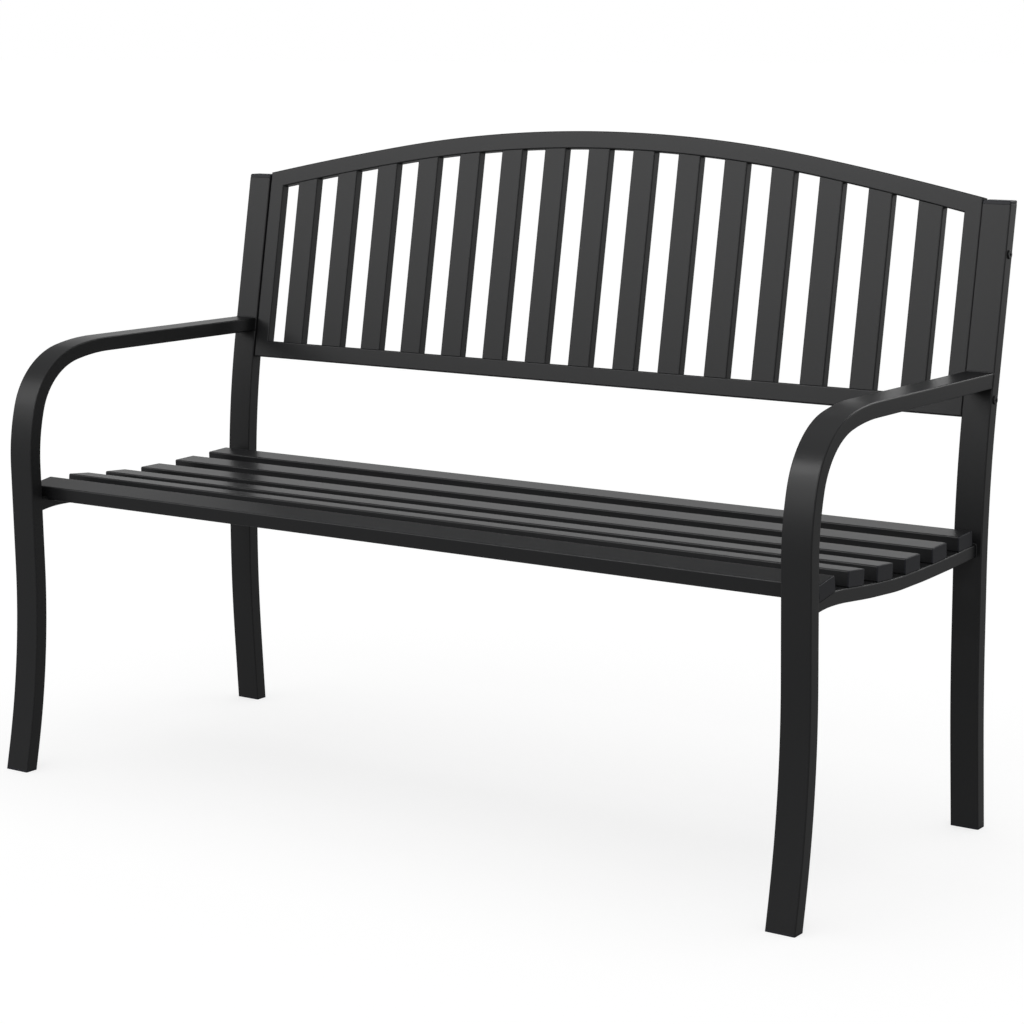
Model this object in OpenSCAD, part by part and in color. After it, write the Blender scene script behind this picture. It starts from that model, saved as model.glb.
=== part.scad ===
// Two-seat garden bench of bent flat steel tube, in millimetres.
// Lengths along the bench run in X, depth runs in Y from the toes backwards, height in Z from the floor.

/* [Overall] */
// Width over the outer faces of the two side frames
overall_w = 1270; // [1000:10:1500]
// Height of the armrests' top faces above the floor
arm_h = 600; // [570:5:660]
// Distance between the front and rear tube centres at the floor
foot_spread = 495; // [480:5:540]

/* [Side frame tube] */
// Width of the flat tube, across the bench
tube_w = 40; // [36:1:50]
// Thickness of the flat tube
tube_t = 20; // [16:1:24]
// Wall of the flat tube
tube_wall = 1.2; // [0.8:0.1:2]
// Outer corner radius of the straight tubes
tube_round = 2; // [1.8:0.1:2.5]

/* [Front leg and armrest] */
// Angle at which the front foot kicks forward
front_foot_kick = 11.5; // [6:0.5:14]
// Straight stretch at the front foot
front_foot_run = 30; // [10:5:80]
// Radius of the long sweep above the front foot
front_sweep_r = 1180; // [900:10:1300]
// Forward lean of the front leg beside the seat, in degrees
front_leg_lean = 1.2; // [0.2:0.1:2]
// Radius of the easy bend that leads into the armrest's corner
arm_lead_r = 280; // [220:10:340]
// Turn of that easy bend, in degrees
arm_lead_turn = 17; // [12:1:20]
// Radius of the corner bend between leg and armrest
arm_bend_r = 100; // [80:5:120]
// Turn of the corner bend, in degrees
arm_bend_turn = 62; // [50:1:66]
// Radius of the easy bend that levels out into the armrest
arm_trail_r = 310; // [200:10:340]

/* [Rear leg and upright] */
// Angle at which the rear foot flares backwards
rear_foot_flare = 3.7; // [2:0.1:5]
// Straight stretch at the rear foot
rear_foot_run = 104; // [80:2:120]
// Radius of the long sweep above the rear foot
rear_sweep_r = 2340; // [1800:20:2600]
// Upright stretch beside the seat
rear_leg_run = 86; // [70:2:100]
// Radius of the bend that leans the upright back
back_bend_r = 1330; // [1200:10:1450]
// Lean of the backrest from upright, in degrees
back_lean = 10.1; // [8:0.1:14]
// Straight tube above the bend, along its centre line, up to its level end
upright_run = 242.3; // [225:0.1:260]

/* [Seat] */
// Setback of the rails and slat ends from the side frames' outer faces
seat_inset_w = 7; // [5:0.5:9]
// Width of a seat rail
rail_w = 30; // [26:1:32]
// Depth of a seat rail
rail_t = 17.5; // [16:0.5:20]
// Wall of a seat rail
rail_wall = 1.5; // [1.2:0.1:2]
// Height of the rails' top faces at their crown
rail_top_h = 388; // [370:1:410]
// Setback of the rails' crown from the toes
rail_crown_y = 87.5; // [84:0.5:92]
// Radius of the rails' centre line ahead of the crown
rail_nose_r = 210; // [180:5:240]
// Radius of the rails' centre line behind the crown
rail_crown_r = 445; // [400:5:480]
// Width of a seat slat
slat_w = 40; // [34:1:42]
// Thickness of a seat slat
slat_t = 20; // [16:1:24]
// Wall of a seat slat
slat_wall = 1; // [0.8:0.1:1.6]
// Clear gap between slats along the rails
slat_gap = 35.5; // [30:0.5:38]
// Tilt of the front slat, nose down, in degrees
front_slat_tilt = 9.5; // [7:0.5:11]
// Distance of the front slat's middle ahead of the rails' crown
front_slat_lead = 7; // [5:0.5:9]
// Depth to which the front slat is let into the rails, at its middle
front_slat_sink = 4.2; // [3:0.1:5]

/* [Backrest] */
// Clearance between the backrest and each upright
panel_gap = 0.5; // [0.3:0.1:1.5]
// Width of the backrest's frame tube
frame_w = 25; // [20:1:30]
// Depth of the backrest's frame tube and slats
frame_t = 15; // [13:1:18]
// Wall of the backrest's frame tube
frame_wall = 1.2; // [0.8:0.1:1.6]
// Height of the arch's top above the end of the uprights' bend, along the lean
arch_top = 323.3; // [310:0.1:340]
// Depth of the backrest's lower edge below the end of the uprights' bend
back_drop = 34.3; // [26:0.1:40]
// Outer radius of the arch in the middle
arch_crown_r = 2150; // [1900:10:2600]
// Outer radius of the arch's shoulders
arch_shoulder_r = 5800; // [4500:100:7000]
// Straight stretch of the arch beside each corner, inside the frame
arch_corner_run = 9; // [6:1:14]
// Number of upright slats
back_slats = 15; // [11:1:17]
// Width of an upright slat
back_slat_w = 36; // [30:1:40]
// Wall of an upright slat
back_slat_wall = 1; // [0.8:0.1:1.4]
// Clear gap between the end slats and the stiles
back_end_gap = 30; // [24:1:38]

/* [Plugs and caps] */
// Thickness of the glide under each tube end
foot_flange = 3; // [2:0.5:5]
// Depth of the glide's plug in the tube
foot_plug = 16; // [10:1:24]
// Thickness of the cap on each upright
cap_flange = 4.5; // [3:0.5:6]
// Depth of the cap's plug in the tube
cap_plug = 14; // [8:1:20]
// Thickness of the plate that closes a slat's end
slat_plug_plate = 2; // [1.5:0.5:3]
// Depth of the slat plug in the slat
slat_plug_depth = 7; // [5:1:8]
// Slack of every plug in its tube, on each side
plug_fit = 0.2; // [0.1:0.05:0.4]
// Radius of the rounded edges on the caps
cap_edge_r = 2; // [1:0.1:2.5]

/* [Fasteners] */
// Diameter of the bolts
bolt_d = 6; // [5:1:6]
// Diameter of the low bolt heads
head_d = 11.5; // [10:0.5:12]
// Height of the low bolt heads
head_h = 2; // [1.5:0.1:2.5]
// Width across the flats of the bolts' sockets
socket_af = 4; // [3:0.5:4]
// Depth of the bolts' sockets
socket_depth = 2.6; // [2:0.1:3]
// Slack of the bolt shanks in their holes, on the radius
bolt_slack = 0.3; // [0.1:0.1:0.5]
// Body diameter of the rivet nuts
nut_d = 9; // [8.5:0.5:9.5]
// Length of a rivet nut's body behind its flange
nut_len = 12; // [10:1:13]
// Diameter of the collar that a rivet nut sets behind the wall
nut_collar_d = 10.5; // [10:0.5:11]
// Thickness of that collar
nut_collar_t = 2; // [1.5:0.1:2.5]
// Diameter of a seat nut's flange
nut_flange_d = 11; // [10.5:0.5:12]
// Thickness of a seat nut's flange
nut_flange_t = 0.5; // [0.3:0.1:0.8]
// Distance of the lower back bolts below the end of the uprights' bend
low_bolt_drop = 9.3; // [4:0.1:12]
// Distance of the upper back bolts above the end of the uprights' bend
high_bolt_rise = 177.5; // [150:0.5:200]
// Distance of the front slat's bolts ahead of its middle
front_bolt_lead = 9; // [6:1:11]

/* [Hidden] */
// Slopes of the second to last seat slats, rising backwards, in degrees
seat_slopes = [-5.5, -3.6, 0.2, 1.7, 2.6];
// Part of the backrest's half width that the arch's middle radius takes
arch_crown_share = 0.59;
// Overrun of cutting solids past what they cut
overrun = 1;
// Slack between a rivet nut and its hole, on the radius
nut_slack = 0.1;
// Slack between a bolt and its thread, on the radius
thread_slack = 0.05;
// Edge radius of the bolt heads
head_edge_r = 0.8;
steel = [0.17, 0.17, 0.18];
plastic = [0.09, 0.09, 0.1];
fastener = [0.3, 0.3, 0.31];
corner_facets = 24;
cap_edge_steps = 6;
// How far a bend's straight steps may stray from its true arc
bend_error = 0.08;

// A tube's path is [start, heading, runs]. The start and the runs lie in a side view or a front view,
// and a heading is the angle from straight up, towards the view's first axis. A run is
// [length, 0] where it is straight and [radius, turn] where it bends, with the radius on the centre line.
function turned(runs, n) = n <= 0 ? 0 : turned(runs, n - 1) + runs[n - 1][1];
function heading(path, n) = path[1] + turned(path[2], n);
function stride(h, run) =
    run[1] == 0 ? run[0] * [sin(h), cos(h)]
    : run[0] * sign(run[1]) * [cos(h) - cos(h + run[1]), sin(h + run[1]) - sin(h)];
function spot(path, n) =
    n <= 0 ? path[0] : spot(path, n - 1) + stride(heading(path, n - 1), path[2][n - 1]);
function path_end(path) = spot(path, len(path[2]));
// The same path with both of its straight ends drawn out
function drawn_out(path, more) =
    let(last = len(path[2]) - 1)
    [
        path[0] - more * [sin(path[1]), cos(path[1])],
        path[1],
        [for (n = [0 : last]) n == 0 || n == last ? path[2][n] + [more, 0] : path[2][n]]
    ];
// Stations [place, heading] along a path, close enough in the bends for the allowed error
function bend_steps(run) = ceil(abs(run[1]) / (2 * acos(1 - bend_error / run[0])));
function stations(path) = concat(
    [
        for (n = [0 : len(path[2]) - 1])
            let(run = path[2][n], h = heading(path, n), steps = run[1] == 0 ? 1 : bend_steps(run))
            for (k = [0 : steps - 1])
                let(part_turn = run[1] * k / steps)
                [spot(path, n) + (k == 0 ? [0, 0] : stride(h, [run[0], part_turn])), h + part_turn]
    ],
    [[path_end(path), heading(path, len(path[2]))]]
);
// The points of a path moved sideways by the given distance, to its right where that is positive
function edge(path, shift) = [for (s = stations(path)) s[0] + shift * aside(s[1])];
function backwards(list) = [for (i = [len(list) - 1 : -1 : 0]) list[i]];
// Unit vectors along a heading and square to it
function ahead(h) = [sin(h), cos(h)];
function aside(h) = [cos(h), -sin(h)];

// Front leg and armrest: foot, sweep, leg, three bends in one, armrest
toe = tube_t / 2 / cos(front_foot_kick);
front_sweep_turn = -(front_foot_kick + front_leg_lean);
arm_trail_turn = 90 + front_leg_lean - arm_lead_turn - arm_bend_turn;
front_bends = [
    [arm_lead_r, arm_lead_turn],
    [arm_bend_r, arm_bend_turn],
    [arm_trail_r, arm_trail_turn]
];
front_foot = [
    [toe, 0] - tube_t * ahead(front_foot_kick),
    front_foot_kick,
    [[front_foot_run + tube_t, 0], [front_sweep_r, front_sweep_turn]]
];
front_bend_rise = path_end([[0, 0], -front_leg_lean, front_bends])[1];
front_leg_run = (arm_h - tube_t / 2 - front_bend_rise - path_end(front_foot)[1]) / cos(front_leg_lean);
arm_run = foot_spread;
front_path = [
    front_foot[0],
    front_foot[1],
    concat(front_foot[2], [[front_leg_run, 0]], front_bends, [[arm_run, 0]])
];
// Centre of the front leg at the height of the seat rails
front_leg_y = path_end(front_foot)[0]
    - (rail_top_h - rail_t / 2 - path_end(front_foot)[1]) * tan(front_leg_lean);

// Rear leg and upright: foot, sweep, leg, bend, upright, drawn out past its level end
rear_path = [
    [toe + foot_spread, 0] + tube_t * ahead(180 - rear_foot_flare),
    -rear_foot_flare,
    [
        [rear_foot_run + tube_t, 0],
        [rear_sweep_r, rear_foot_flare],
        [rear_leg_run, 0],
        [back_bend_r, back_lean],
        [upright_run + tube_t, 0]
    ]
];
rear_leg_y = spot(rear_path, 2)[0];
// End of the uprights' bend, from which the backrest is measured along the lean
bend_end = spot(rear_path, 4);
upright_path = [bend_end, back_lean, [[upright_run + tube_t, 0]]];
upright_top = bend_end + upright_run * ahead(back_lean);

// Seat rail: stub inside the front leg, nose, crown, then a flat under each slat and a bend in each gap
rail_line_h = rail_top_h - rail_t / 2;
nose_turn = asin((rail_crown_y - front_leg_y) / rail_nose_r);
function rail_bend(i) =
    let(turn = seat_slopes[i] - seat_slopes[i + 1]) [slat_gap / abs(turn) * 180 / PI, turn];
rail_flats = [
    for (i = [0 : len(seat_slopes) - 1])
        each i < len(seat_slopes) - 1 ? [[slat_w, 0], rail_bend(i)] : [[slat_w, 0]]
];
rail_nose = [
    [rail_crown_y, rail_line_h] - stride(90 - nose_turn, [rail_nose_r, nose_turn]) - overrun * ahead(90 - nose_turn),
    90 - nose_turn,
    concat([[overrun, 0], [rail_nose_r, nose_turn], [rail_crown_r, -seat_slopes[0]]], rail_flats)
];
last_slope = seat_slopes[len(seat_slopes) - 1];
rail_tail_run = (rear_leg_y - path_end(rail_nose)[0]) / cos(last_slope);
rail_path = [rail_nose[0], rail_nose[1], concat(rail_nose[2], [[rail_tail_run, 0]])];

// A slat's seat is [middle of its underside, heading of the rail there]
function flat_seat(i) =
    let(n = 3 + 2 * i, h = heading(rail_path, n))
    [spot(rail_path, n) + slat_w / 2 * ahead(h) - rail_t / 2 * aside(h), h];
front_seat = [
    [rail_crown_y - front_slat_lead, rail_top_h - front_slat_sink],
    90 - front_slat_tilt
];
slat_seats = concat([front_seat], [for (i = [0 : len(seat_slopes) - 1]) flat_seat(i)]);
// Place of each slat's bolts along its underside, backwards from its middle
bolt_shifts = [for (i = [0 : len(slat_seats) - 1]) i == 0 ? -front_bolt_lead : 0];
slat_half = overall_w / 2 - seat_inset_w;
side_x = overall_w / 2 - tube_w / 2;
rail_x = slat_half - rail_w / 2;
// Depth of the rail below the front slat at its bolts, where its underside is lowest
front_bolt_y = front_seat[0][0] - front_bolt_lead * cos(front_slat_tilt);
nose_low = rail_line_h - rail_nose_r
    + sqrt(pow(rail_nose_r - rail_t / 2, 2) - pow(rail_crown_y - front_bolt_y, 2));
front_grip = (front_seat[0][1] - front_bolt_lead * sin(front_slat_tilt) - nose_low) / cos(front_slat_tilt);

// Backrest, measured from the end of the uprights' bend in the leaning plane
frame_half = overall_w / 2 - tube_w - panel_gap;
arch_crown_turn = asin(arch_crown_share * frame_half / arch_crown_r);
arch_run_x = frame_half - frame_w - arch_corner_run;
arch_slope = asin(sin(arch_crown_turn) + (arch_run_x - arch_crown_share * frame_half) / arch_shoulder_r);
arch_line_r = arch_crown_r - frame_w / 2;
shoulder_line_r = arch_shoulder_r - frame_w / 2;
arch_stub = 2 * frame_w + arch_corner_run;
half_arch = [
    [arch_line_r, arch_crown_turn],
    [shoulder_line_r, arch_slope - arch_crown_turn],
    [arch_stub, 0]
];
arch_start = path_end([[0, arch_top - frame_w / 2], 90, half_arch]);
arch_path = [
    [-arch_start[0], arch_start[1]],
    90 - arch_slope,
    [half_arch[2], half_arch[1], half_arch[0], half_arch[0], half_arch[1], half_arch[2]]
];
// Height of the arch's centre line at a distance from the bench's middle
arch_crown_half = arch_line_r * sin(arch_crown_turn);
arch_crown_drop = arch_line_r * (1 - cos(arch_crown_turn));
function arch_line(x) =
    arch_top - frame_w / 2 - (
        x < arch_crown_half ? arch_line_r - sqrt(pow(arch_line_r, 2) - pow(x, 2))
        : arch_crown_drop + shoulder_line_r * (
            cos(arch_crown_turn) - cos(asin(sin(arch_crown_turn) + (x - arch_crown_half) / shoulder_line_r))
        )
    );
// Outer and inner corners of the mitre between arch and stile
arch_corner_h = arch_start[1] + frame_w / 2 / cos(arch_slope)
    + (arch_start[0] - frame_half) * tan(arch_slope);
arch_corner = [frame_half, arch_corner_h];
arch_inner = [frame_half - frame_w, arch_corner_h + frame_w * tan(arch_slope) - frame_w / cos(arch_slope)];
foot_corner = [frame_half, -back_drop];
foot_inner = [frame_half - frame_w, frame_w - back_drop];
slat_pitch = (2 * (frame_half - frame_w - back_end_gap) - back_slat_w) / (back_slats - 1);
back_bolt_rises = [-low_bolt_drop, high_bolt_rise];
// Rearmost point of the bench, the back edge of the arch at its top
overall_d = bend_end[0] + arch_top * sin(back_lean) + frame_t / 2 * cos(back_lean);

function padded(n) = n < 10 ? str("0", n) : str(n);

// Flat sections, with the tube's thickness in X and its width in Y
module rounded(t, w, r) {
    square([t - 2 * r, w], center = true);
    square([t, w - 2 * r], center = true);
    for (x = [-1, 1], y = [-1, 1])
        translate([x * (t / 2 - r), y * (w / 2 - r)])
            circle(r, $fn = corner_facets);
}

module ring(t, w, wall, r) {
    difference() {
        rounded(t, w, r);
        rounded(t - 2 * wall, w - 2 * wall, r - wall);
    }
}

// A straight length of the section given as its child, from the origin along Y
module straight(size) {
    rotate([-90, 0, 0])
        linear_extrude(size)
            children();
}

// The first, straight run of a path by itself
module first_run(path) {
    translate(path[0])
        rotate([0, 0, -path[1]])
            straight(path[2][0][0])
                children();
}

// The side of a bent tube as a flat shape
module strip(path, t) {
    polygon(concat(edge(path, t / 2), backwards(edge(path, -t / 2))));
}

module bent_bar(path, t, w) {
    linear_extrude(w, center = true)
        strip(path, t);
}

module bent_tube(path, t, w, wall) {
    difference() {
        bent_bar(path, t, w);
        bent_bar(drawn_out(path, overrun), t - 2 * wall, w - 2 * wall);
    }
}

// Frames of reference. side_view stands a side view up at the given X.
module side_view(x = 0) {
    translate([x, -overall_d / 2, 0])
        rotate([90, 0, 90])
            children();
}

// back_view stands a front view of the backrest up in its leaning plane, centred on the uprights' tubes.
module back_view() {
    translate([0, bend_end[0] - overall_d / 2, bend_end[1]])
        rotate([-back_lean, 0, 0])
            rotate([90, 0, 0])
                children();
}

module both_sides() {
    children();
    mirror([1, 0, 0])
        children();
}

// Everything in a side view below the given height
module below(h) {
    translate([-overall_d, h - arm_h, -tube_w])
        cube([3 * overall_d, arm_h, 2 * tube_w]);
}

// Everything in a side view above the given height
module above(h) {
    translate([-overall_d, h, -tube_w])
        cube([3 * overall_d, arm_h, 2 * tube_w]);
}

// Everything in a side view behind the front face of the straight upright
module behind_upright() {
    translate([bend_end[0], bend_end[1], -tube_w])
        rotate([0, 0, -back_lean])
            translate([-tube_t / 2, -arm_h, 0])
                cube([overall_d, 2 * arm_h, 2 * tube_w]);
}

module plug_section(t, w, wall) {
    rounded(t - 2 * wall - 2 * plug_fit, w - 2 * wall - 2 * plug_fit, max(tube_round - wall, plug_fit));
}

// Side frames
module front_leg_arm() {
    color(steel)
        difference() {
            bent_tube(front_path, tube_t, tube_w, tube_wall);
            below(foot_flange);
            behind_upright();
        }
}

module rear_leg_upright() {
    color(steel)
        difference() {
            bent_tube(rear_path, tube_t, tube_w, tube_wall);
            below(foot_flange);
            above(upright_top[1]);
            for (rise = back_bolt_rises)
                translate(bend_end + rise * ahead(back_lean))
                    cylinder(r = bolt_d / 2 + bolt_slack, h = tube_w + 2 * overrun, center = true);
        }
}

// A glide under the first run of a path, cut level with the floor
module foot(path) {
    color(plastic) {
        intersection() {
            first_run(path)
                rounded(tube_t, tube_w, tube_round);
            difference() {
                below(foot_flange);
                below(0);
            }
        }
        intersection() {
            first_run(path)
                plug_section(tube_t, tube_w, tube_wall);
            difference() {
                below(foot_flange + foot_plug);
                below(foot_flange);
            }
        }
    }
}

// Outline of a cap from the front: flat below, with its upper corners rounded
module cap_front() {
    translate([-tube_w / 2, 0])
        square([tube_w, cap_flange - cap_edge_r]);
    translate([cap_edge_r - tube_w / 2, 0])
        square([tube_w - 2 * cap_edge_r, cap_flange]);
    for (x = [-1, 1])
        translate([x * (tube_w / 2 - cap_edge_r), cap_flange - cap_edge_r])
            circle(cap_edge_r, $fn = corner_facets);
}

// Outline of a cap from the side: leaning with the tube and level above, with both upper corners rounded
half_cap = tube_t / 2 / cos(back_lean);
function cap_corner(side, from, to) =
    let(
        up = cap_flange - cap_edge_r,
        middle = [up * tan(back_lean) + side * (half_cap - cap_edge_r / cos(back_lean)), up]
    )
    [
        for (k = [0 : cap_edge_steps])
            let(a = from + (to - from) * k / cap_edge_steps)
            middle + cap_edge_r * [cos(a), sin(a)]
    ];
module cap_side() {
    polygon(concat(
        [[-half_cap, 0], [half_cap, 0]],
        cap_corner(1, -back_lean, 90),
        cap_corner(-1, 90, 180 - back_lean)
    ));
}

// Cap on an upright's level end, with its plug inside the tube
module upright_cap() {
    color(plastic) {
        translate(upright_top)
            intersection() {
                linear_extrude(tube_w + 2 * overrun, center = true)
                    cap_side();
                rotate([0, 90, 0])
                    linear_extrude(3 * tube_t, center = true)
                        cap_front();
            }
        intersection() {
            first_run(upright_path)
                plug_section(tube_t, tube_w, tube_wall);
            difference() {
                below(upright_top[1] + cap_flange / 2);
                below(upright_top[1] - cap_plug);
            }
        }
    }
}

// Seat
// Stands its children on a slat's underside, with Z out of the slat's top and X backwards along the slat
module on_seat(seat) {
    translate([seat[0][0], seat[0][1], 0])
        rotate([-90, 0, 0])
            rotate([0, seat[1] - 90, 0])
                children();
}

module seat_rail() {
    color(steel)
        difference() {
            bent_tube(rail_path, rail_t, rail_w, rail_wall);
            bent_bar(front_path, tube_t, tube_w + 2 * overrun);
            bent_bar(rear_path, tube_t, tube_w + 2 * overrun);
            on_seat(front_seat)
                translate([-slat_w / 2, -rail_w, 0])
                    cube([slat_w, 2 * rail_w, slat_t]);
            for (i = [0 : len(slat_seats) - 1])
                on_seat(slat_seats[i])
                    translate([bolt_shifts[i], 0, 0]) {
                        translate([0, 0, -rail_t / 2])
                            cylinder(r = nut_flange_d / 2 + nut_slack, h = rail_t / 2 + overrun);
                        translate([0, 0, -2 * rail_t])
                            cylinder(r = bolt_d / 2 + bolt_slack, h = 2 * rail_t);
                        translate([0, 0, -grip(i) - head_h - rail_t])
                            cylinder(r = head_d / 2, h = head_h + rail_t);
                    }
        }
}

// Clamped depth under a slat, from its underside to the bolt head
function grip(i) = i == 0 ? front_grip : rail_t;

module seat_slat(i) {
    color(steel)
        on_side_seat(i)
            difference() {
                rotate([90, 0, 90])
                    translate([0, slat_t / 2, 0])
                        linear_extrude(2 * (slat_half - slat_plug_plate), center = true)
                            rotate(90)
                                ring(slat_t, slat_w, slat_wall, tube_round);
                for (x = [-1, 1])
                    translate([x * rail_x, bolt_shifts[i], -overrun])
                        cylinder(r = nut_d / 2 + nut_slack, h = slat_wall + 2 * overrun);
            }
}

// Stands its children on a slat's underside in the bench's frame, with X along the slat
module on_side_seat(i) {
    translate([0, slat_seats[i][0][0] - overall_d / 2, slat_seats[i][0][1]])
        rotate([90 - slat_seats[i][1], 0, 0])
            children();
}

module slat_plugs() {
    color(plastic)
        for (i = [0 : len(slat_seats) - 1])
            on_side_seat(i)
                translate([slat_half - slat_plug_plate, 0, slat_t / 2])
                    rotate([90, 0, 90]) {
                        linear_extrude(slat_plug_plate)
                            rotate(90)
                                rounded(slat_t, slat_w, tube_round);
                        translate([0, 0, -slat_plug_depth])
                            linear_extrude(slat_plug_depth)
                                rotate(90)
                                    plug_section(slat_t, slat_w, slat_wall);
                    }
}

// Fasteners
// A bolt with its head above the origin and its shank below
module bolt(shank) {
    color(fastener)
        difference() {
            union() {
                rotate_extrude($fn = 4 * corner_facets) {
                    square([head_d / 2, head_h - head_edge_r]);
                    square([head_d / 2 - head_edge_r, head_h]);
                    translate([head_d / 2 - head_edge_r, head_h - head_edge_r])
                        intersection() {
                            circle(head_edge_r, $fn = corner_facets);
                            square(head_edge_r);
                        }
                }
                translate([0, 0, -shank])
                    cylinder(d = bolt_d, h = shank, $fn = 2 * corner_facets);
            }
            translate([0, 0, head_h - socket_depth])
                cylinder(d = socket_af / cos(30), h = socket_depth + overrun, $fn = 6);
        }
}

// A rivet nut set in a wall whose outer face is the origin's plane, with its body below
module rivet_nut(wall, flange_t, flange_d) {
    color(fastener)
        difference() {
            union() {
                cylinder(d = flange_d, h = flange_t, $fn = 2 * corner_facets);
                translate([0, 0, -nut_len])
                    cylinder(d = nut_d, h = nut_len, $fn = 2 * corner_facets);
                translate([0, 0, -wall - nut_collar_t])
                    cylinder(d = nut_collar_d, h = nut_collar_t, $fn = 2 * corner_facets);
            }
            translate([0, 0, -nut_len - overrun])
                cylinder(r = bolt_d / 2 + thread_slack, h = nut_len + flange_t + 2 * overrun,
                    $fn = 2 * corner_facets);
        }
}

module on_each_seat_bolt() {
    both_sides()
        for (i = [0 : len(slat_seats) - 1])
            on_side_seat(i)
                translate([rail_x, bolt_shifts[i], 0]) {
                    $grip = grip(i);
                    children();
                }
}

module seat_bolts() {
    on_each_seat_bolt()
        translate([0, 0, -$grip])
            mirror([0, 0, 1])
                bolt($grip + nut_len);
}

module seat_bolt_nuts() {
    on_each_seat_bolt()
        mirror([0, 0, 1])
            rivet_nut(slat_wall, nut_flange_t, nut_flange_d);
}

// Stands its children on the side of the leaning uprights at the given X, with Z outwards
module on_each_back_bolt(x) {
    both_sides()
        for (rise = back_bolt_rises)
            translate([x, -overall_d / 2, 0])
                rotate([90, 0, 90])
                    translate(bend_end + rise * ahead(back_lean))
                        children();
}

module back_bolts() {
    on_each_back_bolt(overall_w / 2)
        bolt(tube_w + panel_gap + nut_len);
}

module back_bolt_nuts() {
    on_each_back_bolt(frame_half)
        rivet_nut(frame_wall, panel_gap, nut_flange_d);
}

// Backrest
module frame_section() {
    ring(frame_w, frame_t, frame_wall, tube_round);
}

// The side of a line away from the bench's middle and below it, from an inner corner out to an outer one
module beyond(inner, outer) {
    way = (outer - inner) / norm(outer - inner);
    down = [way[1], -way[0]];
    start = inner - frame_half * way;
    stop = outer + frame_half * way;
    translate([0, 0, -frame_t])
        linear_extrude(2 * frame_t)
            polygon([start, stop, stop + frame_half * down, start + frame_half * down]);
}

module back_top_rail() {
    color(steel)
        back_view()
            difference() {
                bent_tube(arch_path, frame_w, frame_t, frame_wall);
                both_sides()
                    beyond(arch_inner, arch_corner);
            }
}

module back_bottom_rail() {
    color(steel)
        back_view()
            intersection() {
                translate([-frame_half, frame_w / 2 - back_drop, 0])
                    rotate([0, 0, -90])
                        straight(2 * frame_half)
                            frame_section();
                translate([0, 0, -frame_t])
                    linear_extrude(2 * frame_t)
                        polygon([
                            [-foot_corner[0], foot_corner[1]], foot_corner,
                            foot_inner, [-foot_inner[0], foot_inner[1]]
                        ]);
            }
}

module back_stile() {
    color(steel)
        difference() {
            back_view()
                difference() {
                    intersection() {
                        translate([frame_half - frame_w / 2, -back_drop, 0])
                            straight(arch_corner_h + back_drop)
                                frame_section();
                        beyond(arch_inner, arch_corner);
                    }
                    translate([0, 0, -frame_t])
                        linear_extrude(2 * frame_t)
                            polygon([
                                foot_corner, foot_inner,
                                foot_inner - [frame_w, 0], foot_corner - [2 * frame_w, frame_w]
                            ]);
                }
            for (rise = back_bolt_rises)
                translate([frame_half, -overall_d / 2, 0])
                    rotate([90, 0, 90])
                        translate(bend_end + rise * ahead(back_lean))
                            cylinder(r = nut_d / 2 + nut_slack, h = 2 * (frame_wall + overrun), center = true);
        }
}

module back_slat(i) {
    x = (i - (back_slats - 1) / 2) * slat_pitch;
    color(steel)
        back_view()
            difference() {
                translate([x, frame_w - back_drop, 0])
                    straight(arch_line(abs(x)) + back_drop - frame_w)
                        ring(back_slat_w, frame_t, back_slat_wall, tube_round);
                bent_bar(arch_path, frame_w, frame_t + 2 * overrun);
            }
}

side_view(-side_x) front_leg_arm();  // left_front_leg_arm
side_view(side_x) front_leg_arm();  // right_front_leg_arm
side_view(-side_x) rear_leg_upright();  // left_rear_leg_upright
side_view(side_x) rear_leg_upright();  // right_rear_leg_upright
side_view(-rail_x) seat_rail();  // left_seat_rail
side_view(rail_x) seat_rail();  // right_seat_rail
for (i = [1 : len(slat_seats)])
    seat_slat(i - 1);
mirror([1, 0, 0]) slat_plugs();  // left_slat_plugs
slat_plugs();  // right_slat_plugs
seat_bolts();
seat_bolt_nuts();
back_top_rail();
back_bottom_rail();
mirror([1, 0, 0]) back_stile();  // left_back_stile
back_stile();  // right_back_stile
for (i = [1 : back_slats])
    back_slat(i - 1);
back_bolts();
back_bolt_nuts();
side_view(-side_x) upright_cap();  // left_upright_cap
side_view(side_x) upright_cap();  // right_upright_cap
side_view(-side_x) foot(front_path);  // left_front_foot
side_view(side_x) foot(front_path);  // right_front_foot
side_view(-side_x) foot(rear_path);  // left_rear_foot
side_view(side_x) foot(rear_path);  // right_rear_foot
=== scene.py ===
from math import radians, degrees, sin, cos, tan, asin, acos, ceil
import bpy
from mathutils import Matrix, Vector


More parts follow.
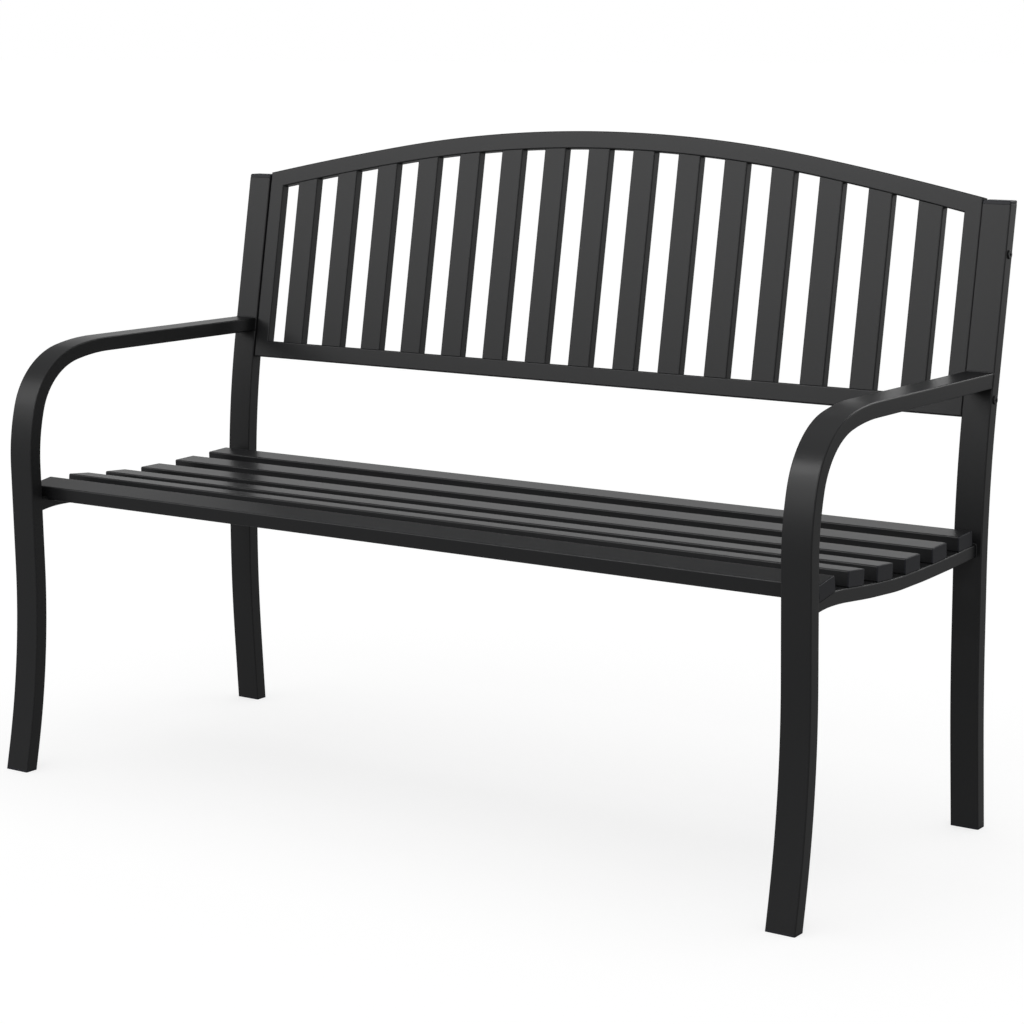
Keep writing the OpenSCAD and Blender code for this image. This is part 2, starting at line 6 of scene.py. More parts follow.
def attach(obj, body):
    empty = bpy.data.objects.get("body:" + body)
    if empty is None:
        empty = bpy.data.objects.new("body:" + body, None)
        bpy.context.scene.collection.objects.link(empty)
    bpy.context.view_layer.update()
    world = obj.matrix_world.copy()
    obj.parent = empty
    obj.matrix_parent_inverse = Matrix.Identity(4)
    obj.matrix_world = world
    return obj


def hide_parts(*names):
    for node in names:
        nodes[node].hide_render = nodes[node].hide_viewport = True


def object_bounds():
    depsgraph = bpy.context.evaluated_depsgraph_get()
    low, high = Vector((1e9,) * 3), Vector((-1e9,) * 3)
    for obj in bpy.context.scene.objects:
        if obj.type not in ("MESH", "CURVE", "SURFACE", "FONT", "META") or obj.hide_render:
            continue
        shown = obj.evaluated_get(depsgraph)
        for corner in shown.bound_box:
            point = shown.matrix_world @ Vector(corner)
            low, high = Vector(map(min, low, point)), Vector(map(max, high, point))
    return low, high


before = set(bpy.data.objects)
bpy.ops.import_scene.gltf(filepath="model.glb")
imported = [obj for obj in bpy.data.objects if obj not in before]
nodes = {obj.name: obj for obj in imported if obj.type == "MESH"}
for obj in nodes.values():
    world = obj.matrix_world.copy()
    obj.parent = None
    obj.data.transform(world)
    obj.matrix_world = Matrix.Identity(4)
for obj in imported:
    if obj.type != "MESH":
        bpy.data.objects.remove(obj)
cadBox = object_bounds()
bpy.ops.object.select_all(action="DESELECT")
print("frame loaded:", len(nodes), "pieces")

# Sizes that several pieces share, in metres; sideways is X, depth is Y, height is Z
bench = {
    "wide": 1.270,  # over the side frames
    "depth": cadBox[1].y - cadBox[0].y,
    "edge": 0.002,  # rounding of the bent tubes' long edges
    "footSpread": 0.495,  # from the front feet to the rear ones
    "lean": 10.1,  # of the backrest, in degrees
    "stray": 0.00001,  # how far a bend's facets may lie off its arc
    "merge": 0.000001,  # corners nearer than this become one
}
sides = {"left": -1, "right": 1}


# A path lies in a plane: its place is (along, up) and its heading is in degrees from straight up.
# A run is (length, 0) where it is straight and (radius, turn) where it bends.
def ahead(heading):
    return Vector((sin(radians(heading)), cos(radians(heading))))


def aside(heading):
    return Vector((cos(radians(heading)), -sin(radians(heading))))


def follow(place, heading, run):
    size, turn = run
    if turn == 0:
        return place + size * ahead(heading), heading
    hub = place + (size if turn > 0 else -size) * aside(heading)
    return hub - (size if turn > 0 else -size) * aside(heading + turn), heading + turn


def pathEnd(place, heading, runs):
    for run in runs:
        place, heading = follow(place, heading, run)
    return place


def shadeSmooth(obj, angle=40):  # smooth over the roundings, flat on the broad faces
    bpy.ops.object.mode_set(mode="OBJECT")
    bpy.ops.object.shade_smooth_by_angle(angle=radians(angle))
    weigh = obj.modifiers.new("weighNormals", "WEIGHTED_NORMAL")
    weigh.keep_sharp = True
    bpy.ops.object.modifier_apply(modifier=weigh.name)


def finishPiece(obj, name, material, body="root"):
    bpy.ops.object.mode_set(mode="OBJECT")
    bpy.ops.object.transform_apply(location=True, rotation=True, scale=True)
    shadeSmooth(obj)
    obj.name = obj.data.name = name
    obj.data.materials.clear()
    obj.data.materials.append(material)
    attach(obj, body)
    obj.select_set(False)


def roundEdges(obj, width, steps=4, angle=50):
    bpy.ops.object.mode_set(mode="OBJECT")
    bevel = obj.modifiers.new("roundEdges", "BEVEL")
    bevel.width, bevel.segments = width, steps
    bevel.limit_method, bevel.angle_limit = "ANGLE", radians(angle)
    bpy.ops.object.modifier_apply(modifier=bevel.name)


# Bevels the edges whose two ends pass the test, which is given their places
def roundPicked(obj, test, width, steps=3):
    bpy.context.view_layer.objects.active = obj
    bpy.ops.object.mode_set(mode="EDIT")
    bpy.ops.mesh.select_mode(type="EDGE")
    bpy.ops.mesh.select_all(action="DESELECT")
    bpy.ops.object.mode_set(mode="OBJECT")
    places = [corner.co for corner in obj.data.vertices]
    for edge in obj.data.edges:
        edge.select = test(places[edge.vertices[0]], places[edge.vertices[1]])
    bpy.ops.object.mode_set(mode="EDIT")
    bpy.ops.mesh.bevel(offset=width, segments=steps, affect="EDGES")
    bpy.ops.object.mode_set(mode="OBJECT")


# Extrudes and spins a flat tube's section along a path in the plane at the given X
def bendTube(x, place, heading, runs, thick, wide):
    bpy.ops.mesh.primitive_plane_add(size=1, location=(x, *place), rotation=(-radians(heading), 0, 0))
    obj = bpy.context.object
    obj.scale = (wide, thick, 1)
    bpy.ops.object.transform_apply(location=True, rotation=True, scale=True)
    bpy.ops.object.mode_set(mode="EDIT")
    bpy.ops.mesh.select_mode(type="FACE")
    bpy.ops.mesh.select_all(action="SELECT")
    for size, turn in runs:
        if turn == 0:
            move = size * ahead(heading)
            bpy.ops.mesh.extrude_region_move(TRANSFORM_OT_translate={"value": (0, *move)})
        else:
            hub = place + (size if turn > 0 else -size) * aside(heading)
            steps = ceil(radians(abs(turn)) / (2 * acos(1 - bench["stray"] / size)))
            bpy.ops.mesh.spin(steps=steps, angle=radians(turn), center=(x, *hub), axis=(1, 0, 0))
        place, heading = follow(place, heading, (size, turn))
    bpy.ops.mesh.select_all(action="SELECT")
    bpy.ops.mesh.remove_doubles(threshold=bench["merge"])
    bpy.ops.mesh.normals_make_consistent(inside=False)
    return obj


def cutTube(obj, point, normal):  # cuts away what lies on the normal's side and closes the end
    bpy.ops.object.mode_set(mode="EDIT")
    bpy.ops.mesh.select_all(action="SELECT")
    bpy.ops.mesh.bisect(plane_co=point, plane_no=normal, clear_outer=True, use_fill=True)
    bpy.ops.object.mode_set(mode="OBJECT")


def startGroup(name, inputs, outputs):
    group = bpy.data.node_groups.new(name, "ShaderNodeTree")
    for label, kind, value in inputs:
        socket = group.interface.new_socket(name=label, in_out="INPUT", socket_type=kind)
        socket.default_value = value
    for label, kind in outputs:
        group.interface.new_socket(name=label, in_out="OUTPUT", socket_type=kind)
    return group, group.nodes.new("NodeGroupInput"), group.nodes.new("NodeGroupOutput")


# Skin of a coated or moulded surface: cloudy tone, orange peel and a fine grain
def makeSkinGroup():
    group, given, out = startGroup(
        "coatSkin",
        [
            ("Tone", "NodeSocketColor", (0.02, 0.02, 0.02, 1)), ("Tone Spread", "NodeSocketFloat", 0.1),
            ("Roughness", "NodeSocketFloat", 0.4), ("Roughness Spread", "NodeSocketFloat", 0.05),
            ("Cloud Scale", "NodeSocketFloat", 14), ("Peel Scale", "NodeSocketFloat", 420),
            ("Grain Scale", "NodeSocketFloat", 1900), ("Grain Share", "NodeSocketFloat", 0.4),
        ],
        [("Color", "NodeSocketColor"), ("Roughness", "NodeSocketFloat"), ("Height", "NodeSocketFloat")],
    )
    tree, links = group.nodes, group.links
    place = tree.new("ShaderNodeTexCoord")

    def noise(scale, detail):
        node = tree.new("ShaderNodeTexNoise")
        node.inputs["Detail"].default_value = detail
        links.new(place.outputs["Object"], node.inputs["Vector"])
        links.new(given.outputs[scale], node.inputs["Scale"])
        return node.outputs["Fac"]

    def maths(kind, a, b):
        node = tree.new("ShaderNodeMath")
        node.operation = kind
        for socket, value in zip(node.inputs, (a, b)):
            if isinstance(value, (int, float)):
                socket.default_value = value
            else:
                links.new(value, socket)
        return node.outputs[0]

    cloud = maths("SUBTRACT", noise("Cloud Scale", detail=4), 0.5)
    bright = maths("ADD", maths("MULTIPLY", cloud, given.outputs["Tone Spread"]), 1)
    shade = tree.new("ShaderNodeVectorMath")
    shade.operation = "SCALE"
    links.new(given.outputs["Tone"], shade.inputs[0])
    links.new(bright, shade.inputs["Scale"])
    links.new(shade.outputs[0], out.inputs["Color"])
    grain = noise("Grain Scale", detail=2)
    uneven = maths("SUBTRACT", maths("ADD", noise("Cloud Scale", detail=5), grain), 1)
    rough = maths("MULTIPLY", uneven, given.outputs["Roughness Spread"])
    links.new(maths("ADD", rough, given.outputs["Roughness"]), out.inputs["Roughness"])
    grit = maths("MULTIPLY", grain, given.outputs["Grain Share"])
    links.new(maths("ADD", noise("Peel Scale", detail=2), grit), out.inputs["Height"])
    return group


skinGroup = makeSkinGroup()


def makeSkin(name, look):
    material = bpy.data.materials.new(name)
    material.use_nodes = True
    tree, links = material.node_tree.nodes, material.node_tree.links
    shader = tree["Principled BSDF"]
    shader.inputs["Specular IOR Level"].default_value = look["gloss"]
    shader.inputs["Coat Weight"].default_value = look["coat"]
    shader.inputs["Coat Roughness"].default_value = look["coatRoughness"]
    skin = tree.new("ShaderNodeGroup")
    skin.node_tree = skinGroup
    skin.inputs["Tone"].default_value = (*look["tone"], 1)
    for label, key in (
        ("Tone Spread", "toneSpread"), ("Roughness", "roughness"), ("Roughness Spread", "roughnessSpread"),
        ("Cloud Scale", "cloudScale"), ("Peel Scale", "peelScale"), ("Grain Scale", "grainScale"),
        ("Grain Share", "grainShare"),
    ):
        skin.inputs[label].default_value = look[key]
    bump = tree.new("ShaderNodeBump")
    bump.inputs["Strength"].default_value = look["bump"]
    bump.inputs["Distance"].default_value = look["bumpDepth"]
    links.new(skin.outputs["Color"], shader.inputs["Base Color"])
    links.new(skin.outputs["Roughness"], shader.inputs["Roughness"])
    links.new(skin.outputs["Height"], bump.inputs["Height"])
    links.new(bump.outputs["Normal"], shader.inputs["Normal"])
    return material


# Every finish has its shine from the coat over it, so gloss is nought
powderCoat = {
    "tone": (0.0062, 0.0063, 0.0066), "toneSpread": 0.16, "roughness": 0.6, "roughnessSpread": 0.08,
    "gloss": 0, "coat": 0.24, "coatRoughness": 0.34, "cloudScale": 9, "peelScale": 430,
    "grainScale": 2100, "grainShare": 0.35, "bump": 0.32, "bumpDepth": 0.0002,
}
mouldedPlastic = {
    "tone": (0.0072, 0.0075, 0.0092), "toneSpread": 0.1, "roughness": 0.6, "roughnessSpread": 0.06,
    "gloss": 0, "coat": 0.2, "coatRoughness": 0.42, "cloudScale": 30, "peelScale": 900,
    "grainScale": 3200, "grainShare": 0.8, "bump": 0.25, "bumpDepth": 0.00012,
}
blackedSteel = {
    "tone": (0.0072, 0.0072, 0.0076), "toneSpread": 0.25, "roughness": 0.5, "roughnessSpread": 0.1,
    "gloss": 0, "coat": 0.22, "coatRoughness": 0.3, "cloudScale": 120, "peelScale": 1500,
    "grainScale": 4200, "grainShare": 0.5, "bump": 0.15, "bumpDepth": 0.0001,
}
weldMetal = dict(powderCoat, coatRoughness=0.42, peelScale=900, bump=0.35)
coatedSteel = makeSkin("satinPowderCoat", powderCoat)
coatedWeld = makeSkin("coatedWeld", weldMetal)
blackPlastic = makeSkin("mouldedPlastic", mouldedPlastic)
boltSteel = makeSkin("blackedSteel", blackedSteel)
print("materials made")

# Front leg and armrest, one bent tube a side
frontLeg = {
    "thick": 0.020, "wide": 0.040, "kick": 11.5, "footRun": 0.030, "sweep": 1.180, "lean": 1.2,
    "lead": (0.280, 17), "corner": (0.100, 62), "trail": 0.310, "armTop": 0.600, "glide": 0.003,
}
legX = bench["wide"] / 2 - frontLeg["wide"] / 2
backwards = -bench["depth"] / 2  # from depths behind the toes to the bench's own
toe = frontLeg["thick"] / 2 / cos(radians(frontLeg["kick"]))
frontStart = Vector((toe + backwards, 0)) - frontLeg["thick"] * ahead(frontLeg["kick"])
footRuns = [
    (frontLeg["footRun"] + frontLeg["thick"], 0), (frontLeg["sweep"], -frontLeg["kick"] - frontLeg["lean"]),
]
levelTurn = 90 + frontLeg["lean"] - frontLeg["lead"][1] - frontLeg["corner"][1]
armBends = [frontLeg["lead"], frontLeg["corner"], (frontLeg["trail"], levelTurn)]
bendRise = pathEnd(Vector((0, 0)), -frontLeg["lean"], armBends)[1]
frontLegFoot = pathEnd(frontStart, frontLeg["kick"], footRuns)
legRise = frontLeg["armTop"] - frontLeg["thick"] / 2 - bendRise - frontLegFoot[1]
legRun = legRise / cos(radians(frontLeg["lean"]))
frontRuns = footRuns + [(legRun, 0)] + armBends + [(bench["footSpread"], 0)]  # the upright cuts the arm

# Rear leg and upright, one bent tube a side
rearLeg = {
    "thick": 0.020, "wide": 0.040, "flare": 3.7, "footRun": 0.104, "sweep": 2.340, "legRun": 0.086,
    "bend": 1.330, "uprightRun": 0.2423, "rim": 0.001,
}
rearStart = Vector((toe + bench["footSpread"] + backwards, 0)) - rearLeg["thick"] * ahead(-rearLeg["flare"])
rearRuns = [
    (rearLeg["footRun"] + rearLeg["thick"], 0), (rearLeg["sweep"], rearLeg["flare"]), (rearLeg["legRun"], 0),
    (rearLeg["bend"], bench["lean"]), (rearLeg["uprightRun"] + rearLeg["thick"], 0),
]
bendEnd = pathEnd(rearStart, -rearLeg["flare"], rearRuns[:4])  # the backrest is placed from here
uprightFront = bendEnd - rearLeg["thick"] / 2 * aside(bench["lean"])
uprightTop = bendEnd + rearLeg["uprightRun"] * ahead(bench["lean"])

for side, way in sides.items():
    x = way * legX
    leg = bendTube(x, frontStart, frontLeg["kick"], frontRuns, frontLeg["thick"], frontLeg["wide"])
    roundEdges(leg, bench["edge"])
    cutTube(leg, (x, 0, frontLeg["glide"]), (0, 0, -1))
    cutTube(leg, (x, *uprightFront), (0, *aside(bench["lean"])))
    finishPiece(leg, f"{side}FrontLegAndArm", coatedSteel)
    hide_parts(f"{side}_front_leg_arm")
    leg = bendTube(x, rearStart, -rearLeg["flare"], rearRuns, rearLeg["thick"], rearLeg["wide"])
    roundEdges(leg, bench["edge"])
    cutTube(leg, (x, 0, frontLeg["glide"]), (0, 0, -1))
    cutTube(leg, (x, 0, uprightTop[1]), (0, 0, 1))
    roundPicked(leg, lambda a, b: min(a.z, b.z) > uprightTop[1] - bench["stray"], rearLeg["rim"])
    finishPiece(leg, f"{side}RearLegAndUpright", coatedSteel)
    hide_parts(f"{side}_rear_leg_upright")
print("side frames bent")

# Caps on the uprights' level ends
cap = {"thick": 0.0045, "edge": 0.002, "steps": 5, "shrink": 0.0003}
for side, way in sides.items():
    x = way * legX
    lid = bendTube(
        x, uprightTop - rearLeg["thick"] * ahead(bench["lean"]), bench["lean"], [(2 * rearLeg["thick"], 0)],
        rearLeg["thick"] - cap["shrink"], rearLeg["wide"] - cap["shrink"],
    )
    cutTube(lid, (x, 0, uprightTop[1]), (0, 0, -1))
    cutTube(lid, (x, 0, uprightTop[1] + cap["thick"]), (0, 0, 1))
    roundPicked(lid, lambda a, b: max(a.z, b.z) > uprightTop[1] + bench["stray"], cap["edge"], cap["steps"])
    finishPiece(lid, f"{side}UprightCap", blackPlastic)
    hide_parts(f"{side}_upright_cap")
print("caps set")

# Weld seam round a flat tube's end, on the face that it butts on; the middle is (along, up)
seam = {"bead": 0.0011, "beadSteps": 3, "corner": 0.003, "cornerSteps": 5}


def laySeam(name, x, middle, heading, wide, tall):
    bpy.ops.mesh.primitive_plane_add(size=1, location=(x, *middle), rotation=(radians(90 - heading), 0, 0))
    loop = bpy.context.object
    loop.scale = (wide, tall, 1)
    bpy.ops.object.transform_apply(location=False, rotation=False, scale=True)
    bpy.ops.object.mode_set(mode="EDIT")
    bpy.ops.mesh.select_all(action="SELECT")
    bpy.ops.mesh.bevel(offset=seam["corner"], segments=seam["cornerSteps"], affect="VERTICES")
    bpy.ops.mesh.select_all(action="SELECT")
    bpy.ops.mesh.delete(type="ONLY_FACE")
    bpy.ops.object.mode_set(mode="OBJECT")
    bpy.ops.object.convert(target="CURVE")
    wire = bpy.context.object.data
    wire.bevel_depth, wire.bevel_resolution = seam["bead"], seam["beadSteps"]
    bpy.ops.object.convert(target="MESH")
    bead = bpy.context.object
    finishPiece(bead, name, coatedWeld)


seamAlong = (frontLeg["armTop"] - frontLeg["thick"] / 2 - uprightFront[1]) / cos(radians(bench["lean"]))
armEnd = uprightFront + seamAlong * ahead(bench["lean"])
armTall = frontLeg["thick"] / cos(radians(bench["lean"]))
for side, way in sides.items():
    laySeam(f"{side}ArmSeam", way * legX, armEnd, bench["lean"], frontLeg["wide"], armTall)
print("arm seams laid")

# Seat rails, a flat under each slat and a gentle bend in each gap
seatRail = {
    "wide": 0.030, "thick": 0.0175, "inset": 0.007, "crownTop": 0.388, "crownY": 0.0875, "nose": 0.210,
    "crown": 0.445, "slopes": (-5.5, -3.6, 0.2, 1.7, 2.6), "flat": 0.040, "gap": 0.0355,
}
frontSlat = {"wide": 0.040, "thick": 0.020, "tilt": 9.5, "lead": 0.007, "sink": 0.0042}
railX = bench["wide"] / 2 - seatRail["inset"] - seatRail["wide"] / 2
crown = Vector((seatRail["crownY"] + backwards, seatRail["crownTop"] - seatRail["thick"] / 2))
legY = frontLegFoot[0] - (crown[1] - frontLegFoot[1]) * tan(radians(frontLeg["lean"]))
noseTurn = degrees(asin((crown[0] - legY) / seatRail["nose"]))
railStart = crown - pathEnd(Vector((0, 0)), 90 - noseTurn, [(seatRail["nose"], noseTurn)])
railRuns = [(seatRail["nose"], noseTurn), (seatRail["crown"], -seatRail["slopes"][0])]
for slope, following in zip(seatRail["slopes"], seatRail["slopes"][1:]):
    bend = (seatRail["gap"] / radians(abs(slope - following)), slope - following)
    railRuns += [(seatRail["flat"], 0), bend]
railRuns.append((seatRail["flat"], 0))
railTail = pathEnd(railStart, 90 - noseTurn, railRuns)
rearY = pathEnd(rearStart, -rearLeg["flare"], rearRuns[:2])[0]
railRuns.append(((rearY - railTail[0]) / cos(radians(seatRail["slopes"][-1])), 0))

# Each slat's seat is the middle of its underside and its slope, rising backwards
frontSeat = Vector((
    seatRail["crownY"] - frontSlat["lead"] + backwards, seatRail["crownTop"] - frontSlat["sink"],
))
seats = [(frontSeat, frontSlat["tilt"])]
for i, slope in enumerate(seatRail["slopes"]):
    flatStart = pathEnd(railStart, 90 - noseTurn, railRuns[:2 * i + 2])
    flatMiddle = flatStart + seatRail["flat"] / 2 * ahead(90 - slope)
    seats.append((flatMiddle - seatRail["thick"] / 2 * aside(90 - slope), slope))

tilt = radians(frontSlat["tilt"])
for side, way in sides.items():
    x = way * railX
    rail = bendTube(x, railStart, 90 - noseTurn, railRuns, seatRail["thick"], seatRail["wide"])
    roundEdges(rail, bench["edge"])
    bpy.ops.mesh.primitive_cube_add(  # the front slat is let into the rail
        size=1, location=(x, *frontSeat), rotation=(tilt, 0, 0),
        scale=(2 * seatRail["wide"], frontSlat["wide"], frontSlat["thick"]),
    )
    notch = bpy.context.object
    bpy.ops.transform.translate(value=frontSlat["thick"] / 2 * Vector((0, -sin(tilt), cos(tilt))))
    notch.select_set(False)
    rail.select_set(True)
    bpy.context.view_layer.objects.active = rail
    letIn = rail.modifiers.new("letIn", "BOOLEAN")
    letIn.object, letIn.operation, letIn.solver = notch, "DIFFERENCE", "EXACT"
    bpy.ops.object.modifier_apply(modifier=letIn.name)
    bpy.data.objects.remove(notch)
    finishPiece(rail, f"{side}SeatRail", coatedSteel)
    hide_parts(f"{side}_seat_rail")
print("seat rails bent")

# Seams at the seat rails' two ends
noseIn = noseTurn - degrees(asin(sin(radians(noseTurn)) - frontLeg["thick"] / 2 / seatRail["nose"]))
railNose, railHeading = follow(railStart, 90 - noseTurn, (seatRail["nose"], noseIn))
noseTall = seatRail["thick"] / cos(radians(90 - railHeading - frontLeg["lean"]))
tailRun = (rearY - rearLeg["thick"] / 2 - railTail[0]) / cos(radians(seatRail["slopes"][-1]))
railEnd = railTail + tailRun * ahead(90 - seatRail["slopes"][-1])
for side, way in sides.items():
    x = way * railX
    laySeam(f"{side}RailFrontSeam", x, railNose, -frontLeg["lean"], seatRail["wide"], noseTall)
    laySeam(f"{side}RailRearSeam", x, railEnd, 0, seatRail["wide"], seatRail["thick"])
print("rail seams laid")

# Plugs in the slats' ends, with a soft outer rim
plug = {"plate": 0.002, "corner": 0.002, "cornerSteps": 5, "rim": 0.0009, "shrink": 0.0002}
for side, way in sides.items():
    outer = way * (bench["wide"] / 2 - seatRail["inset"])
    lidSet = []
    for place, slope in seats:
        middle = place + frontSlat["thick"] / 2 * Vector((-sin(radians(slope)), cos(radians(slope))))
        bpy.ops.mesh.primitive_cube_add(
            size=1, location=(outer - way * plug["plate"] / 2, *middle), rotation=(radians(slope), 0, 0),
            scale=(plug["plate"], frontSlat["wide"] - plug["shrink"], frontSlat["thick"] - plug["shrink"]),
        )
        lid = bpy.context.object
        bpy.ops.object.transform_apply(location=False, rotation=False, scale=True)
        roundPicked(lid, lambda a, b: abs(a.x - b.x) > plug["plate"] / 2, plug["corner"], plug["cornerSteps"])
        roundPicked(lid, lambda a, b: min(way * a.x, way * b.x) > 0, plug["rim"])
        lid.select_set(False)
        lidSet.append(lid)
    for lid in lidSet:
        lid.select_set(True)
    bpy.ops.object.join()
    lids = bpy.context.object
    finishPiece(lids, f"{side}SlatPlugs", blackPlastic)
    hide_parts(f"{side}_slat_plugs")
print("slat plugs set")

# Arched top rail of the backrest, bent flat and then leaned into place
arch = {
    "wide": 0.025, "deep": 0.015, "top": 0.3233, "crown": 2.150, "shoulder": 5.800, "cornerRun": 0.009,
    "gap": 0.0005, "crownShare": 0.59,
}
archHalf = bench["wide"] / 2 - frontLeg["wide"] - arch["gap"]
crownX = arch["crownShare"] * archHalf
crownTurn = degrees(asin(crownX / arch["crown"]))
shoulderX = archHalf - arch["wide"] - arch["cornerRun"]
archSlope = degrees(asin(sin(radians(crownTurn)) + (shoulderX - crownX) / arch["shoulder"]))
crownBend = (arch["crown"] - arch["wide"] / 2, crownTurn)
shoulderBend = (arch["shoulder"] - arch["wide"] / 2, archSlope - crownTurn)
stub = (2 * arch["wide"] + arch["cornerRun"], 0)
archMiddle = Vector((0, arch["top"] - arch["wide"] / 2))
archEnd = pathEnd(archMiddle, 90, [crownBend, shoulderBend, stub])
archRuns = [stub, shoulderBend, (crownBend[0], 2 * crownTurn), shoulderBend, stub]
topRail = bendTube(0, Vector((-archEnd[0], archEnd[1])), 90 - archSlope, archRuns, arch["wide"], arch["deep"])
roundEdges(topRail, bench["edge"])
endSlope = radians(archSlope)
cornerUp = archEnd[1] + arch["wide"] / 2 / cos(endSlope) + (archEnd[0] - archHalf) * tan(endSlope)
mitreUp = cornerUp + arch["wide"] * tan(endSlope) - arch["wide"] / cos(endSlope)
mitreIn = Vector((archHalf - arch["wide"], mitreUp))
mitre = (Vector((archHalf, cornerUp)) - mitreIn).normalized()
cutTube(topRail, (0, *mitreIn), (0, mitre[1], -mitre[0]))
cutTube(topRail, (0, -mitreIn[0], mitreIn[1]), (0, -mitre[1], -mitre[0]))
intoBack = Matrix.Translation((0, *bendEnd)) @ Matrix.Rotation(-radians(bench["lean"]), 4, "X")
topRail.matrix_world = intoBack @ Matrix.Rotation(radians(-90), 4, "Z")
finishPiece(topRail, "archedTopRail", coatedSteel)
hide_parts("back_top_rail")
print("arched top rail bent")

# Coats on the solids, most of which keep their own shape
for name, obj in nodes.items():
    obj.data.materials.clear()
    if name.startswith(("seat_slat", "back_slat")) or name.endswith(("_stile", "_rail", "_upright", "_arm")):
        obj.data.materials.append(coatedSteel)
    elif "bolt" in name:
        obj.data.materials.append(boltSteel)
    else:
        obj.data.materials.append(blackPlastic)
print("solids coated")

# Plain pale floor under a soft, even sky; the background is seen as white
studio = {
    "floorSize": 400, "floorTone": 0.55, "seenTone": 0.4, "glow": 0.73, "worldLight": 0.32, "worldSeen": 1.0,
    "sun": 1.2, "sunSpread": 70, "sunPlace": (0, 0, 4),
}
bpy.ops.mesh.primitive_plane_add(size=studio["floorSize"], location=(0, 0, 0))
floor = bpy.context.object
floor.name = "floor"


# One for the rays that see the white background, nought for the rest
def whiteRays(tree, links):
    path = tree.new("ShaderNodeLightPath")
    total = path.outputs["Is Camera Ray"]
    for kind in ("Is Glossy Ray", "Is Transmission Ray"):
        either = tree.new("ShaderNodeMath")
        either.operation = "MAXIMUM"
        links.new(total, either.inputs[0])
        links.new(path.outputs[kind], either.inputs[1])
        total = either.outputs[0]
    return total


def greyOf(tone):
    return (tone, tone, tone, 1)


floorPaint = bpy.data.materials.new("floorPaint")
floorPaint.use_nodes = True
tree, links = floorPaint.node_tree.nodes, floorPaint.node_tree.links
tree.remove(tree["Principled BSDF"])
plain, seen = tree.new("ShaderNodeBsdfDiffuse"), tree.new("ShaderNodeBsdfDiffuse")
plain.inputs["Color"].default_value = greyOf(studio["floorTone"])
seen.inputs["Color"].default_value = greyOf(studio["seenTone"])
glow = tree.new("ShaderNodeEmission")
glow.inputs["Strength"].default_value = studio["glow"]
lit, pick = tree.new("ShaderNodeAddShader"), tree.new("ShaderNodeMixShader")
links.new(seen.outputs[0], lit.inputs[0])
links.new(glow.outputs[0], lit.inputs[1])
links.new(whiteRays(tree, links), pick.inputs[0])
links.new(plain.outputs[0], pick.inputs[1])
links.new(lit.outputs[0], pick.inputs[2])
links.new(pick.outputs[0], tree["Material Output"].inputs["Surface"])
floor.data.materials.append(floorPaint)

world = bpy.data.worlds.new("studioWorld")
bpy.context.scene.world = world
world.use_nodes = True
tree, links = world.node_tree.nodes, world.node_tree.links
soft = tree["Background"]
soft.inputs["Color"].default_value = greyOf(1)
soft.inputs["Strength"].default_value = studio["worldLight"]
white, pick = tree.new("ShaderNodeBackground"), tree.new("ShaderNodeMixShader")
white.inputs["Color"].default_value = greyOf(1)
white.inputs["Strength"].default_value = studio["worldSeen"]
links.new(whiteRays(tree, links), pick.inputs[0])
links.new(soft.outputs[0], pick.inputs[1])
links.new(white.outputs[0], pick.inputs[2])
links.new(pick.outputs[0], tree["World Output"].inputs["Surface"])

# The panels light the bench alone, so that the floor is evenly white outside the bench's shadow
offFloor = bpy.data.collections.new("offFloor")
offFloor.objects.link(floor)
offFloor.collection_objects[0].light_linking.link_state = "EXCLUDE"


def softbox(name, place, target, size, power):
    bpy.ops.object.light_add(type="AREA", location=place)
    lamp = bpy.context.object
    lamp.name = name
    lamp.data.shape, lamp.data.size, lamp.data.size_y = "RECTANGLE", *size
    lamp.data.energy = power
    lamp.rotation_euler = (Vector(target) - Vector(place)).to_track_quat("-Z", "Y").to_euler()
    lamp.visible_camera = False
    lamp.light_linking.receiver_collection = offFloor


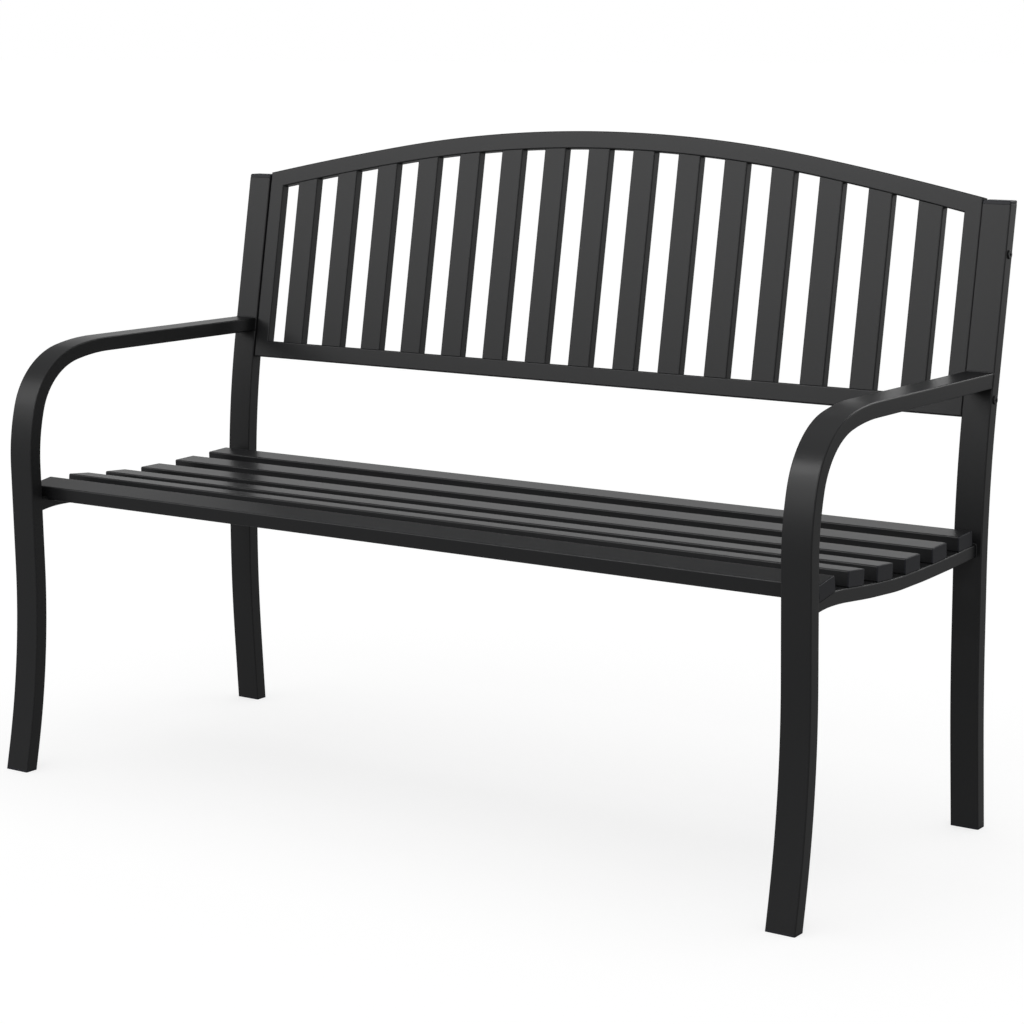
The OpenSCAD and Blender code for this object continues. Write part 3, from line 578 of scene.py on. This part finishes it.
# Each panel's place, target, size in metres and power in watts
lamps = {
    "frontPanel": ((-2.25, -3.15, 2.27), (0, 0, 0.85), (4.4, 2.0), 156),
    "nearPanel": ((2.1, -3.4, 2.3), (0.3, 0, 0.75), (3.2, 1.5), 68),
    "rimPanel": ((1.75, -2.4, 2.75), (0.5, -0.2, 0.55), (0.45, 0.45), 22),
    "keyPanel": ((-1.06, -2.36, 2.8), (0.6, -0.27, 0.54), (0.5, 0.5), 42),
    "backPanel": ((-2.2, 3.6, 1.35), (0, 0, 0.45), (4.0, 1.6), 36),
    "sidePanel": ((3.1, 3.9, 1.35), (0.3, 0, 0.75), (3.2, 2.2), 40),
    "rearPanel": ((0.7, 3.7, 2.9), (0, 0.2, 0.6), (3.2, 1.8), 180),
}
for name, (place, target, size, power) in lamps.items():
    softbox(name, place, target, size, power)

# A sun spread wide, so that the floor has no bright patch
bpy.ops.object.light_add(type="SUN", location=studio["sunPlace"])
sun = bpy.context.object
sun.name = "evenSky"
sun.data.energy, sun.data.angle = studio["sun"], radians(studio["sunSpread"])

# Camera, fitted to the photograph: angles in degrees, focal length, centre and frame in pixels
view = {
    "place": (1.98672, -2.48474, 1.003935), "yaw": 33.317, "pitch": -8.854, "roll": 0.094,
    "focal": 2562.936, "centre": (590.375, 451.045), "frame": 1024, "sensor": 36, "farthest": 1000,
}
bpy.ops.object.camera_add()
camera = bpy.context.object
bpy.context.scene.camera = camera
camera.data.sensor_width = view["sensor"]
camera.data.lens = view["focal"] / view["frame"] * view["sensor"]
camera.data.shift_x = (view["frame"] / 2 - view["centre"][0]) / view["frame"]
camera.data.shift_y = (view["centre"][1] - view["frame"] / 2) / view["frame"]
camera.data.clip_end = view["farthest"]
camera.matrix_world = (
    Matrix.Translation(Vector(view["place"]) + Vector((0, backwards, 0)))
    @ Matrix.Rotation(radians(view["yaw"]), 4, "Z")
    @ Matrix.Rotation(radians(90 + view["pitch"]), 4, "X")
    @ Matrix.Rotation(radians(view["roll"]), 4, "Z")
)
bpy.context.scene.view_settings.view_transform = "Standard"
print("studio set up")
